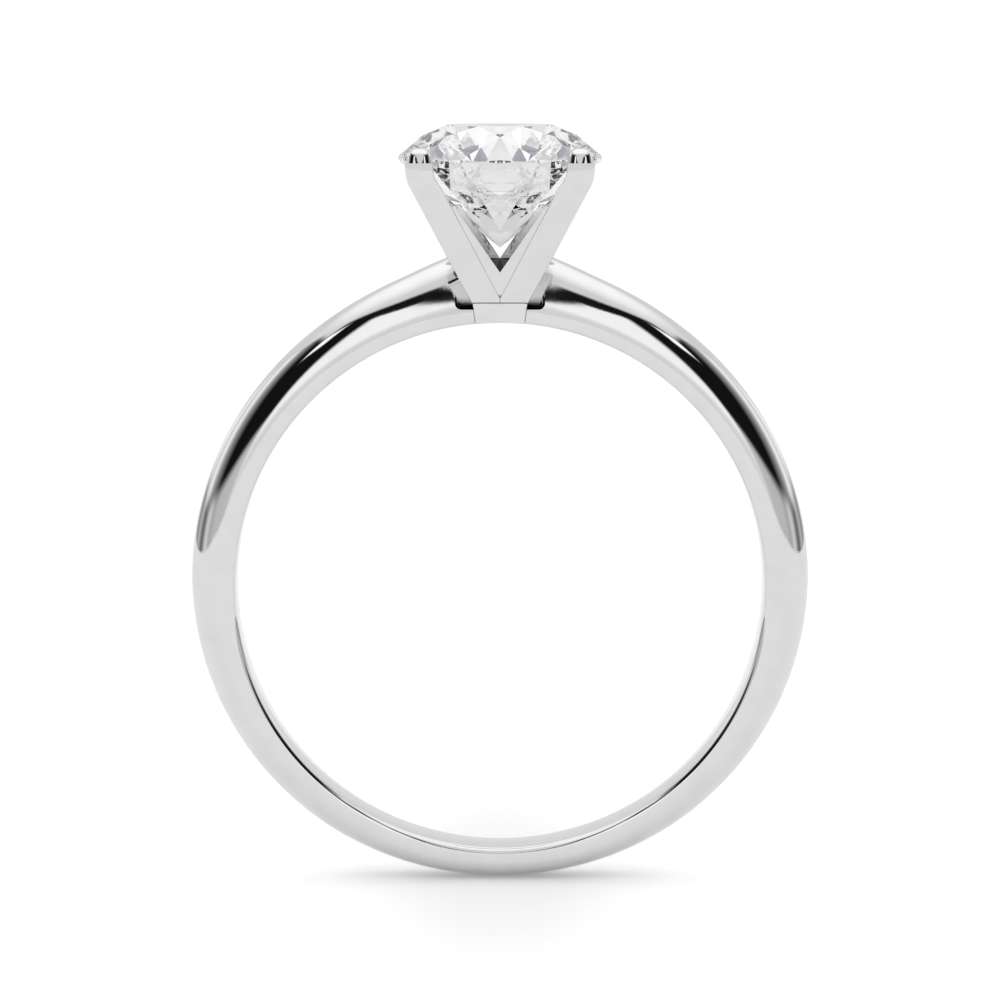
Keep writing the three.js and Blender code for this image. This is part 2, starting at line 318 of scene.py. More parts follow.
def cut(piece, *tools):
    """Cuts the tools out of the piece and puts them away."""
    for tool in tools:
        apply_modifier(piece, "BOOLEAN", operation="DIFFERENCE", solver="EXACT", object=tool)
        bpy.data.objects.remove(tool)


def copy_of(piece, name):
    """A copy with its own mesh."""
    settle(piece)
    bpy.ops.object.duplicate(linked=False)
    twin = bpy.context.active_object
    twin.name = name
    twin.data.name = name
    return twin


def turn_piece(piece, quarter):
    """Turns a piece about the ring's upright axis by quarters, in its mesh."""
    settle(piece)
    piece.rotation_euler.z = quarter * pi / 2
    bpy.ops.object.transform_apply(location=True, rotation=True, scale=True)


def clean(piece):
    """Merges doubled points and points the faces outwards."""
    edit(piece)
    pick_all()
    bpy.ops.mesh.remove_doubles(threshold=MERGE)
    bpy.ops.mesh.dissolve_degenerate(threshold=MERGE)
    bpy.ops.mesh.normals_make_consistent(inside=False)
    done()


def soften(piece, width):
    """Breaks the sharp edges with a small round."""
    apply_modifier(
        piece,
        "BEVEL",
        width=width,
        segments=EDGE_STEPS,
        limit_method="ANGLE",
        angle_limit=radians(35),
        use_clamp_overlap=True,
        miter_outer="MITER_ARC",
    )


def block(name, low, high):
    """A block whose plan is a rectangle at each of two heights; low and high are (x, y, z) ranges."""
    (lx, ly, lz), (hx, hy, hz) = low, high
    piece = start(
        name,
        bpy.ops.mesh.primitive_cube_add,
        size=1,
        location=((lx[0] + lx[1]) / 2, (ly[0] + ly[1]) / 2, (lz + hz) / 2),
        scale=(lx[1] - lx[0], ly[1] - ly[0], hz - lz),
    )
    edit(piece)
    pick("FACE", faces_up)
    widen = ((hx[1] - hx[0]) / (lx[1] - lx[0]), (hy[1] - hy[0]) / (ly[1] - ly[0]), 1)
    bpy.ops.transform.resize(value=widen)
    move = ((hx[0] + hx[1] - lx[0] - lx[1]) / 2, (hy[0] + hy[1] - ly[0] - ly[1]) / 2, 0)
    bpy.ops.transform.translate(value=move)
    done()
    return piece


def note_painted_shade(piece, amount):
    """Notes on every corner how much painted shade darkens it: 0 on open faces, 1 deep in a crevice."""
    layer = piece.data.attributes.new("crevice_shade", "FLOAT", "CORNER")
    for face in piece.data.polygons:
        for corner in face.loop_indices:
            point = piece.data.vertices[piece.data.loops[corner].vertex_index].co
            layer.data[corner].value = amount(face.center, face.normal, point)


def finish_piece(piece, cad_node, material, smooth_angle=None):
    """Brings a piece from millimetres to metres, checks it against the frame and hands it over."""
    settle(piece)
    piece.scale = (MM, MM, MM)
    bpy.ops.object.transform_apply(location=True, rotation=True, scale=True)
    if smooth_angle is None:
        bpy.ops.object.shade_flat()
    else:
        bpy.ops.object.shade_smooth_by_angle(angle=radians(smooth_angle))
    piece.data.materials.clear()
    piece.data.materials.append(material)
    corners = [Vector(corner) for corner in piece.bound_box]
    low = Vector(min(c[i] for c in corners) for i in range(3))
    high = Vector(max(c[i] for c in corners) for i in range(3))
    for mine, planned in zip((low, high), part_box(cad_node)):
        if (mine - planned).length > SLACK * MM:
            raise RuntimeError(f"{piece.name} is off its place: {mine / MM} for {planned / MM}")
    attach(piece, "root")
    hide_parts(cad_node)
    bpy.ops.object.select_all(action="DESELECT")


# -------- the ring's shared shape


def ring_plan(scene):
    """Heights and places in millimetres that follow from the frame and the settings."""
    band = millimetres(scene.ring_band)
    head = millimetres(scene.ring_head)
    stone = millimetres(scene.ring_stone)
    shank_low, shank_high = box_mm("shank")
    collar_high = box_mm("head_collar")[1]
    stone_low, stone_high = box_mm("stone")
    prong_high = box_mm("prong_back_right")[1]
    plan = SimpleNamespace(band=band, head=head, stone=stone)
    plan.width = shank_high.y - shank_low.y
    plan.bore_radius = band.bore / 2
    plan.centre = shank_low.z + band.bottom + plan.bore_radius
    plan.bore_top = plan.centre + plan.bore_radius
    plan.collar_top = collar_high.z
    plan.collar_height = plan.collar_top - plan.bore_top
    plan.base = plan.collar_top + head.gap
    plan.stone_radius = (stone_high.x - stone_low.x) / 2
    plan.culet = stone_low.z
    plan.table = stone_high.z
    plan.girdle = plan.culet + plan.stone_radius * tan(stone.pavilion) + stone.girdle / 2
    plan.reach = prong_high.x
    plan.upright = plan.girdle - head.upright
    plan.bend = plan.upright - head.bend
    plan.tip = plan.girdle - head.tip_drop
    plan.slope = (plan.reach - head.base / 2) / (plan.upright - head.bend / 2 - plan.base)
    return plan


def band_thickness(plan, angle):
    """The band's thickness at an angle from the top, on one smooth line through its stations."""
    band = plan.band
    stations = [
        (0, band.root),
        (9, band.crest),
        (20, band.shoulder),
        (45, band.upper),
        (90, band.side),
        (140, band.lower),
        (180, band.bottom),
    ]

    def lean(i):
        if i == len(stations) - 1:
            return 0
        (a0, t0), (a1, t1) = stations[max(i - 1, 0)], stations[i + 1]
        return (t1 - t0) / (a1 - a0)

    i = next(n for n in range(1, len(stations)) if stations[n][0] >= angle)
    (a0, t0), (a1, t1) = stations[i - 1], stations[i]
    u = (angle - a0) / (a1 - a0)
    bulge = u * (1 - u) * (a1 - a0)
    return t0 + (t1 - t0) * u * u * (3 - 2 * u) + bulge * ((1 - u) * lean(i - 1) - u * lean(i))


def face_slope(plan, z):
    """How steeply the head's faces lean out at a height."""
    return plan.slope * clamp((plan.upright - z) / plan.head.bend)


def outer_face(plan, z):
    """How far the head's faces stand out at a height."""
    if z <= plan.bend:
        return plan.head.base / 2 + plan.slope * (z - plan.base)
    return plan.reach - face_slope(plan, z) * max(plan.upright - z, 0) / 2


def inner_face(plan, z):
    """Where a prong's inner faces stand at a height: a bar's width in, or at the mitre in the middle."""
    level = plan.head.prong * sqrt(1 + face_slope(plan, z) ** 2)
    return max(outer_face(plan, z) - level, plan.head.seam / 2)


# -------- materials


def node(tree, kind, place, **settings):
    """A node at a place on the sheet, with its inputs or properties set by name."""
    made = tree.nodes.new(kind)
    made.location = place
    for name, value in settings.items():
        if name in made.inputs.keys():
            made.inputs[name].default_value = value
        else:
            setattr(made, name, value)
    return made


def empty_material(name):
    """The material of that name with an empty sheet of nodes."""
    material = bpy.data.materials.get(name) or bpy.data.materials.new(name)
    material.use_nodes = True
    material.node_tree.nodes.clear()
    return material, material.node_tree


def white_gold(settings):
    """Mirror-polished white gold: fine polishing lines, soft swirls in the polish and faint wear, and painted
    shade in its crevices.
    """
    material, tree = empty_material("white_gold")
    link = tree.links.new
    output = node(tree, "ShaderNodeOutputMaterial", (900, 0))
    shader = node(tree, "ShaderNodeBsdfPrincipled", (600, 0), Metallic=1.0)
    link(shader.outputs["BSDF"], output.inputs["Surface"])
    place = node(tree, "ShaderNodeTexCoord", (-1000, 0))

    # Swirls left by the polishing wheel, about a millimetre across.
    swirl = node(tree, "ShaderNodeTexNoise", (-700, 300), Scale=1100.0, Detail=3.0, Roughness=0.55)
    link(place.outputs["Object"], swirl.inputs["Vector"])
    # Hairlines, stretched along the ring's width.
    stretch = node(tree, "ShaderNodeMapping", (-850, -150))
    stretch.inputs["Scale"].default_value = (1.0, 0.08, 1.0)
    link(place.outputs["Object"], stretch.inputs["Vector"])
    hair = node(tree, "ShaderNodeTexNoise", (-650, -150), Scale=26000.0, Detail=2.0, Roughness=0.7)
    link(stretch.outputs["Vector"], hair.inputs["Vector"])

    tint = node(tree, "ShaderNodeMix", (200, 250), data_type="RGBA")
    tint.inputs["A"].default_value = (*settings.gold, 1.0)
    tint.inputs["B"].default_value = (*settings.gold_worn, 1.0)
    worn = node(tree, "ShaderNodeMapRange", (0, 250), **{"From Min": 0.45, "From Max": 0.75})
    link(swirl.outputs["Fac"], worn.inputs["Value"])
    link(worn.outputs["Result"], tint.inputs["Factor"])

    # Painted shade: the crevices are darkened in the colour, patchy with the swirls.
    shade_amount = node(tree, "ShaderNodeAttribute", (-200, 550), attribute_name="crevice_shade")
    patchy = node(tree, "ShaderNodeMath", (0, 550), operation="MULTIPLY_ADD")
    link(shade_amount.outputs["Fac"], patchy.inputs[0])
    link(shade_amount.outputs["Fac"], patchy.inputs[2])
    link(swirl.outputs["Fac"], patchy.inputs[1])
    shaded = node(tree, "ShaderNodeMix", (400, 250), data_type="RGBA", clamp_factor=True)
    shaded.inputs["B"].default_value = (*settings.crevice_shade, 1.0)
    link(patchy.outputs["Value"], shaded.inputs["Factor"])
    link(tint.outputs["Result"], shaded.inputs["A"])
    link(shaded.outputs["Result"], shader.inputs["Base Color"])

    polish = node(tree, "ShaderNodeMapRange", (0, -50), **{"From Min": 0.3, "From Max": 0.7})
    polish.inputs["To Min"].default_value = settings.gold_roughness * 0.7
    polish.inputs["To Max"].default_value = settings.gold_roughness * 1.5
    link(swirl.outputs["Fac"], polish.inputs["Value"])
    link(polish.outputs["Result"], shader.inputs["Roughness"])

    bump = node(tree, "ShaderNodeBump", (300, -300), Strength=0.012, Distance=0.00002)
    link(hair.outputs["Fac"], bump.inputs["Height"])
    link(bump.outputs["Normal"], shader.inputs["Normal"])
    return material


def diamond(settings):
    """A clear cut diamond with a trace of colour in its depth."""
    material, tree = empty_material("diamond")
    output = node(tree, "ShaderNodeOutputMaterial", (600, 0))
    shader = node(tree, "ShaderNodeBsdfPrincipled", (300, 0), Roughness=0.0, IOR=settings.diamond_ior)
    shader.inputs["Transmission Weight"].default_value = 1.0
    tree.links.new(shader.outputs["BSDF"], output.inputs["Surface"])
    place = node(tree, "ShaderNodeTexCoord", (-600, 0))
    cloud = node(tree, "ShaderNodeTexNoise", (-400, 0), Scale=600.0, Detail=2.0)
    tree.links.new(place.outputs["Object"], cloud.inputs["Vector"])
    tint = node(tree, "ShaderNodeMix", (-100, 0), data_type="RGBA")
    red, green, blue = settings.diamond
    tint.inputs["A"].default_value = (red, green, blue, 1.0)
    tint.inputs["B"].default_value = (red * 0.985, green * 0.99, blue, 1.0)
    tree.links.new(cloud.outputs["Fac"], tint.inputs["Factor"])
    tree.links.new(tint.outputs["Result"], shader.inputs["Base Color"])
    return material


def feed(tree, socket, value):
    """Gives a socket a number, or joins it to another node's output."""
    if isinstance(value, bpy.types.NodeSocket):
        tree.links.new(value, socket)
    else:
        socket.default_value = value


def maths(tree, operation, a, b=0.0):
    """A maths node on two values, each a number or another node's output."""
    made = tree.nodes.new("ShaderNodeMath")
    made.operation = operation
    for socket, value in zip(made.inputs, (a, b)):
        feed(tree, socket, value)
    return made.outputs["Value"]


def past(tree, value, other, softness):
    """From 0 to 1 as the value rises past the other, with a soft edge."""
    step = tree.nodes.new("ShaderNodeMapRange")
    step.interpolation_type = "SMOOTHSTEP"
    step.inputs["From Min"].default_value = -softness
    step.inputs["From Max"].default_value = softness
    tree.links.new(maths(tree, "SUBTRACT", value, other), step.inputs["Value"])
    return step.outputs["Result"]


def blend(tree, factor, a, b):
    """a where the factor is 0 and b where it is 1, for brightnesses."""
    made = tree.nodes.new("ShaderNodeMix")
    tree.links.new(factor, made.inputs["Factor"])
    for name, value in (("A", a), ("B", b)):
        feed(tree, made.inputs[name], value)
    return made.outputs["Result"]


def ramp(tree, value, span, *stops):
    """A light that follows a value through stops: each a place in the span, and a brightness or colour."""
    made = tree.nodes.new("ShaderNodeValToRGB")
    points = made.color_ramp.elements
    while len(points) < len(stops):
        points.new(0.5)
    for point, (place, _) in zip(points, stops):
        point.position = place / span
    for point, (_, light) in zip(points, stops):
        point.color = (*light, 1) if isinstance(light, tuple) else (light, light, light, 1)
    tree.links.new(maths(tree, "DIVIDE", value, span), made.inputs["Fac"])
    return made.outputs["Color"]


# The studio as the ring sees it. Angles are in degrees round from the camera's side. Heights and widths are
# those of a direction one unit long, and a softness is half the width of a blurred edge.
HALF_TURN = 180
ROOM_END = 62
WALL_TONES = (
    (72, 0.16), (80, 0.3), (88, 0.48), (97, 0.95), (104, 1.15), (113, 0.87), (121, 0.87), (131, 1.05),
)
WHITE_WALL = 150
STRIP_TONES = (
    (0, 0.66), (48, 0.62), (58, 0.5), (72, 0.8), (83, 0.32), (90, 0.15), (98, 0.3),
    (106, 0.55), (114, 0.5), (125, 0.3), (133, 0.5), (142, 0.9),
)
WHITE_STRIP = 160
STRIP_TOP = sin(radians(8))
CARD_REACH = 22
CARD_SIDE, CARD_FOOT = 1.87, 0.036
CARD_SHOULDER, CARD_CROWN = 0.92, 0.205
CARD_BRIGHT, CARD_BRIGHT_FROM = 1.38, 0.06
LAMP_ROUND, LAMP_REACH = 46, 5
LAMP_HEIGHT, LAMP_TALL = sin(radians(38)), 0.045
TONGUE_WIDTH, TONGUE_TAPER, TONGUE_TRIM = 1.065, 0.42, 0.03
CLEAR_OF_CARD = 0.14
SOFTBOX_CORE = sin(radians(52))
# What the stone makes of the studio's brightness, up to the brightest.
CALM_TONES = ((0.1, 0.36), (0.4, 0.6), (0.8, 0.76), (1.15, 0.9), (1.4, 1.0))
BRIGHTEST = 1.4


def studio(stage):
    """White walls and a softbox overhead, with a dark room behind the camera over low white cards."""
    world = bpy.data.worlds.new("studio")
    world.use_nodes = True
    tree = world.node_tree
    tree.nodes.clear()
    way = tree.nodes.new("ShaderNodeTexCoord")
    axes = tree.nodes.new("ShaderNodeSeparateXYZ")
    tree.links.new(way.outputs["Generated"], axes.inputs["Vector"])
    x, y, z = axes.outputs

    def times(a, b):
        return maths(tree, "MULTIPLY", a, b)

    def less(a, b):
        return maths(tree, "SUBTRACT", a, b)

    across = maths(tree, "ABSOLUTE", x)
    ahead = times(y, -1.0)
    around = maths(tree, "DEGREES", maths(tree, "ARCTAN2", across, ahead))

    # The walls, dark in front, and the strip of cards and table edge along the horizon.
    dark, white = stage.room, stage.walls
    end = (HALF_TURN, white)
    walls = ramp(
        tree, around, HALF_TURN, (0, dark), (ROOM_END, dark), *WALL_TONES, (WHITE_WALL, white), end
    )
    strip = ramp(tree, around, HALF_TURN, *STRIP_TONES, (WHITE_STRIP, white), end)
    light = blend(tree, past(tree, z, STRIP_TOP, 0.05), strip, walls)

    # The card under the camera.
    near = past(tree, CARD_REACH, around, 3)
    steep = times(across, CARD_SIDE)
    side = maths(tree, "ADD", steep, CARD_FOOT)
    shoulder = maths(tree, "ADD", times(across, CARD_SHOULDER), CARD_CROWN)
    under = past(tree, maths(tree, "MINIMUM", side, shoulder), z, 0.01)
    shine = blend(tree, past(tree, z, CARD_BRIGHT_FROM, 0.06), stage.card, CARD_BRIGHT * stage.card)
    light = blend(tree, times(near, under), light, shine)

    # Two small lamps, to the left and right of the camera.
    aside = maths(tree, "ABSOLUTE", less(around, LAMP_ROUND))
    height = maths(tree, "ABSOLUTE", less(z, LAMP_HEIGHT))
    lamp = times(past(tree, LAMP_REACH, aside, 2), past(tree, LAMP_TALL, height, 0.02))
    light = blend(tree, lamp, light, stage.lamp)

    # The softbox overhead, with a tongue that narrows towards the camera.
    beside = past(tree, times(z, stage.overhead_width), across, 0.03)
    before = past(tree, times(z, stage.overhead_front), ahead, 0.03)
    taper = less(times(z, TONGUE_WIDTH), times(ahead, TONGUE_TAPER))
    tongue = past(tree, less(taper, across), TONGUE_TRIM, 0.03)
    over = past(tree, less(z, steep), CLEAR_OF_CARD, 0.006)
    tongue = maths(tree, "MAXIMUM", tongue, over)
    overhead = maths(tree, "MAXIMUM", times(beside, before), tongue)
    glow = blend(tree, past(tree, z, SOFTBOX_CORE, 0.12), stage.overhead_edge, stage.overhead)
    light = blend(tree, overhead, light, glow)

    # The stone sees a calmer room, violet where it is darkest, and the camera a white one.
    calm = ramp(tree, light, BRIGHTEST, (0, tuple(stage.depth)), *CALM_TONES)
    path = tree.nodes.new("ShaderNodeLightPath")
    output = tree.nodes.new("ShaderNodeOutputWorld")
    shader = None
    for seen, ray in ((light, None), (calm, "Is Transmission Ray"), ((1, 1, 1, 1), "Is Camera Ray")):
        background = tree.nodes.new("ShaderNodeBackground")
        feed(tree, background.inputs["Color"], seen)
        if ray:
            choice = tree.nodes.new("ShaderNodeMixShader")
            tree.links.new(path.outputs[ray], choice.inputs["Fac"])
            tree.links.new(shader, choice.inputs[1])
            tree.links.new(background.outputs["Background"], choice.inputs[2])
            shader = choice.outputs["Shader"]
        else:
            shader = background.outputs["Background"]
    tree.links.new(shader, output.inputs["Surface"])
    return world


# Where the sweep whitens, in millimetres from under the ring, and how much of its depth counts.
WHITEN_FROM, WHITEN_TO, WHITEN_DEPTH = 1, 6, 0.25


def sweep(stage):
    """The studio's white sweep: matt, with a trace of a mirror image and of its own light, and painted light
    for the camera away from the ring.
    """
    material, tree = empty_material("sweep")
    matt = node(tree, "ShaderNodeBsdfDiffuse", (0, 0), Color=(*stage.floor, 1.0))
    gloss = node(tree, "ShaderNodeBsdfGlossy", (0, -150), Roughness=0.08)
    mix = node(tree, "ShaderNodeMixShader", (200, 0), Fac=stage.floor_gloss)
    glow = node(tree, "ShaderNodeEmission", (200, -200))
    add = node(tree, "ShaderNodeAddShader", (400, 0))
    output = node(tree, "ShaderNodeOutputMaterial", (600, 0))
    tree.links.new(matt.outputs["BSDF"], mix.inputs[1])
    tree.links.new(gloss.outputs["BSDF"], mix.inputs[2])
    tree.links.new(mix.outputs["Shader"], add.inputs[0])
    tree.links.new(glow.outputs["Emission"], add.inputs[1])
    tree.links.new(add.outputs["Shader"], output.inputs["Surface"])

    # Painted light: for the camera the sweep glows whiter away from the ring, so that it is white all round in
    # the picture and left to its own shadow close to the ring.
    place = node(tree, "ShaderNodeTexCoord", (-800, -300))
    flat = node(tree, "ShaderNodeMapping", (-600, -300))
    flat.inputs["Scale"].default_value = (1.0, WHITEN_DEPTH, 1.0)
    away = node(tree, "ShaderNodeVectorMath", (-400, -300), operation="LENGTH")
    clear = node(tree, "ShaderNodeMapRange", (-200, -300), interpolation_type="SMOOTHSTEP")
    clear.inputs["From Min"].default_value = WHITEN_FROM * MM
    clear.inputs["From Max"].default_value = WHITEN_TO * MM
    clear.inputs["To Max"].default_value = stage.floor_lift
    seen = node(tree, "ShaderNodeLightPath", (-200, -600))
    tree.links.new(place.outputs["Object"], flat.inputs["Vector"])
    tree.links.new(flat.outputs["Vector"], away.inputs["Vector"])
    tree.links.new(away.outputs["Value"], clear.inputs["Value"])
    lift = maths(tree, "MULTIPLY", clear.outputs["Result"], seen.outputs["Is Camera Ray"])
    tree.links.new(maths(tree, "ADD", lift, stage.floor_glow), glow.inputs["Strength"])
    return material


# -------- pieces


def band_blank(plan):
    """A closed band: a D-shaped section spun round the finger hole, its dome then raised bit by bit."""
    band = plan.band
    half = plan.width / 2
    flank = plan.bore_top + band.side_flat
    blank = start(
        "polished_shank",
        bpy.ops.mesh.primitive_circle_add,
        vertices=2 * band.dome_steps,
        radius=half,
        fill_type="NGON",
        location=(0, 0, flank),
        rotation=(0, pi / 2, 0),
    )
    edit(blank)
    pick_all()
    bpy.ops.mesh.bisect(plane_co=(0, 0, flank), plane_no=(0, 0, 1), clear_inner=True, threshold=TINY)

    def on_flank(e):
        return all(abs(v.co.z - flank) < TINY for v in e.verts)

    pick("EDGE", on_flank)
    bpy.ops.mesh.extrude_region_move(TRANSFORM_OT_translate={"value": (0, 0, -band.side_flat)})
    pick("EDGE", on_flank)
    bpy.ops.mesh.dissolve_edges(use_verts=False)
    pick("VERT", lambda v: v.co.z < plan.bore_top + TINY)
    bpy.ops.mesh.bevel(offset=band.inner_edge, segments=RIM_STEPS, affect="VERTICES")
    pick_all()
    bpy.ops.mesh.delete(type="ONLY_FACE")
    pick_all()
    bpy.ops.mesh.spin(
        steps=band.steps, angle=2 * pi, center=(0, 0, plan.centre), axis=(0, 1, 0), use_auto_merge=False
    )
    close_up(MERGE)

    mesh = bmesh.from_edit_mesh(blank.data)
    sections = {}
    for v in mesh.verts:
        radius = hypot(v.co.x, v.co.z - plan.centre)
        if radius > plan.bore_radius + band.side_flat + TINY:
            turned = atan2(v.co.x, v.co.z - plan.centre)
            sections.setdefault(round(turned * band.steps / (2 * pi)) % band.steps, []).append(v.index)
    bpy.ops.mesh.select_mode(type="VERT")
    for step, members in sections.items():
        turned = 2 * pi * step / band.steps
        thickness = band_thickness(plan, 180 - abs(180 - degrees(turned)))
        raised = (thickness - band.side_flat) / half
        bpy.ops.mesh.select_all(action="DESELECT")
        mesh = bmesh.from_edit_mesh(blank.data)
        mesh.verts.ensure_lookup_table()
        for index in members:
            mesh.verts[index].select_set(True)
        radius = plan.bore_radius + band.side_flat
        foot = (radius * sin(turned), 0, plan.centre + radius * cos(turned))
        bpy.ops.transform.resize(value=(raised, 1, raised), center_override=foot)
    done()
    return blank


def shoulder_cutters(plan):
    """The slot for the collar and head, and the pockets in front of and behind the tongues."""
    head = plan.head
    wide = plan.width
    deep = plan.bore_top - plan.band.side_flat
    narrowing = (head.collar_top - head.collar_foot) / plan.collar_height

    def collar_half(z):
        return (head.collar_top + narrowing * (z - plan.collar_top)) / 2 + head.seam

    high = plan.girdle
    head_half = head.base / 2 + head.seam
    top_half = head_half + plan.slope * (high - plan.base)
    low_half, mid_half = collar_half(deep), collar_half(plan.base)
    cutters = [
        block(
            "collar_slot",
            ((-low_half, low_half), (-wide, wide), deep),
            ((-mid_half, mid_half), (-wide, wide), plan.base),
        ),
        block(
            "head_slot",
            ((-head_half, head_half), (-wide, wide), plan.collar_top),
            ((-top_half, top_half), (-wide, wide), high),
        ),
    ]
    floor = plan.bore_top + head.pocket_floor
    wall = floor + head.pocket_wall
    wall_half = head.base / 2 + plan.slope * (wall - plan.base) + head.pocket_gap
    pocket_half = wall_half + plan.slope * (high - wall)
    for side in (-1, 1):
        y = sorted((side * head.tongue / 2, side * wide))
        pocket = block(
            "pocket", ((-wall_half, wall_half), y, floor), ((-wall_half, wall_half), y, wall)
        )
        edit(pocket)
        pick("FACE", faces_up)
        bpy.ops.mesh.extrude_region_move(TRANSFORM_OT_translate={"value": (0, 0, high - wall)})
        bpy.ops.transform.resize(value=(pocket_half / wall_half, 1, 1))
        pick(
            "EDGE",
            lambda e: all(abs(v.co.y) < head.tongue / 2 + TINY and v.co.z < high - TINY for v in e.verts)
            or all(v.co.z < floor + TINY for v in e.verts),
        )
        bpy.ops.mesh.bevel(offset=head.pocket_round, segments=POCKET_STEPS)
        done()
        cutters.append(pocket)
    return cutters


def prong_bar(plan, skin):
    """A prong in the back right corner: a square drawn up from the base and bent upright at the girdle."""
    head = plan.head
    level = head.prong * sqrt(1 + plan.slope**2)
    mitre = plan.base + (level + head.seam / 2 - head.base / 2) / plan.slope
    stations = [plan.base]
    if mitre > plan.base:
        stations.append(mitre)
    stations += [plan.bend + (plan.upright - plan.bend) * i / BEND_STEPS for i in range(BEND_STEPS + 1)]
    stations.append(plan.tip)

    def spread(z):
        inner, outer = inner_face(plan, z), outer_face(plan, z)
        return (inner + outer) / 2, (outer - inner) / 2 + skin

    z0 = stations[0]
    centre, half = spread(z0)
    bar = start(
        "prong", bpy.ops.mesh.primitive_plane_add, size=2 * half, location=(centre, centre, z0)
    )
    edit(bar)
    pick_all()
    for z in stations[1:]:
        next_centre, next_half = spread(z)
        shift = next_centre - centre
        bpy.ops.mesh.extrude_region_move(TRANSFORM_OT_translate={"value": (shift, shift, z - z0)})
        bpy.ops.transform.resize(
            value=(next_half / half, next_half / half, 1), center_override=(next_centre, next_centre, z)
        )
        centre, half, z0 = next_centre, next_half, z
    pick_all()
    bpy.ops.mesh.normals_make_consistent(inside=False)
    done()
    return bar


def dome_tip(plan, bar):
    """Raises the rounded tip on a prong, and breaks its long edges."""
    head = plan.head
    edit(bar)
    pick("FACE", lambda f: middle(f).z > plan.tip - TINY)
    bpy.ops.mesh.inset(thickness=head.tip_step)
    half = head.prong / 2 - head.tip_step
    bpy.ops.mesh.extrude_region_move(TRANSFORM_OT_translate={"value": (0, 0, head.tip_height)})
    narrow = 1 - head.tip_height * tan(head.tip_lean) / half
    bpy.ops.transform.resize(value=(narrow, narrow, 1))
    pick("EDGE", lambda e: any(v.co.z > plan.tip + TINY for v in e.verts))
    bpy.ops.mesh.bevel(offset=head.tip_round, segments=TIP_STEPS)

    def long_edge(e):
        a, b = (v.co for v in e.verts)
        return max(a.z, b.z) < plan.tip + TINY and abs(a.z - b.z) > 0.5 * (a - b).length

    pick("EDGE", long_edge)
    bpy.ops.mesh.bevel(offset=head.corner, segments=EDGE_STEPS)
    done()


def plane_through(a, b, c, inside):
    """The plane through three points: a point on it, and its normal, pointing away from the inside."""
    normal = (b - a).cross(c - a).normalized()
    if normal.dot(a - inside) < 0:
        normal.negate()
    return a, normal


def stone_planes(plan):
    """The brilliant cut's facets, each as a point and an outward normal."""
    stone = plan.stone
    radius = plan.stone_radius
    crown_z = plan.girdle + stone.girdle / 2
    pavilion_z = plan.girdle - stone.girdle / 2
    eighth, sixteenth = pi / 4, pi / 8
    table_radius = stone.table * radius
    table_edge = table_radius * cos(sixteenth)
    star_radius = table_edge + stone.star * (radius - table_edge)
    star_z = crown_z + (radius - star_radius * cos(sixteenth)) * tan(stone.crown)
    lower_radius = (1 - stone.lower_half) * radius
    lower_z = pavilion_z - (radius - lower_radius * cos(sixteenth)) * tan(stone.pavilion)

    def polar(distance, angle, z):
        return Vector((distance * cos(angle), distance * sin(angle), z))

    inside = Vector((0, 0, plan.girdle))
    planes = []
    for i in range(8):
        main = sixteenth + i * eighth
        outward = polar(1, main, 0)
        crown = outward * sin(stone.crown) + Vector((0, 0, cos(stone.crown)))
        pavilion = outward * sin(stone.pavilion) - Vector((0, 0, cos(stone.pavilion)))
        planes.append((polar(radius, main, crown_z), crown))
        planes.append((polar(radius, main, pavilion_z), pavilion))
    for i in range(8):
        star = polar(star_radius, i * eighth, star_z)
        lower = polar(lower_radius, i * eighth, lower_z)
        corners = [polar(table_radius, i * eighth + side * sixteenth, plan.table) for side in (-1, 1)]
        planes.append(plane_through(star, *corners, inside))
        for side in (-1, 1):
            ends = [i * eighth, i * eighth + side * sixteenth]
            upper = [polar(radius, end, crown_z) for end in ends]
            under = [polar(radius, end, pavilion_z) for end in ends]
            planes.append(plane_through(star, *upper, inside))
            planes.append(plane_through(lower, *under, inside))
    return planes


def cut_stone(plan, grow=0.0):
    """The stone: a round blank, ground flat facet by facet. Grow makes it larger, for its seats."""
    blank = start(
        "cut_stone",
        bpy.ops.mesh.primitive_cylinder_add,
        vertices=plan.stone.sides,
        radius=plan.stone_radius,
        depth=3 * (plan.table - plan.culet),
        location=(0, 0, plan.girdle),
    )
    edit(blank)
    pick_all()
    bpy.ops.mesh.bisect(
        plane_co=(0, 0, plan.table), plane_no=(0, 0, 1), use_fill=True, clear_outer=True, threshold=TINY
    )
    for point, outward in stone_planes(plan):
        pick_all()
        bpy.ops.mesh.bisect(
            plane_co=point, plane_no=outward, use_fill=True, clear_outer=True, threshold=FACET_MERGE
        )
    if grow:
        ratio = 1 + grow / plan.stone_radius
        pick_all()
        bpy.ops.transform.resize(value=(ratio, ratio, ratio), center_override=(0, 0, plan.girdle))
    done()
    return blank


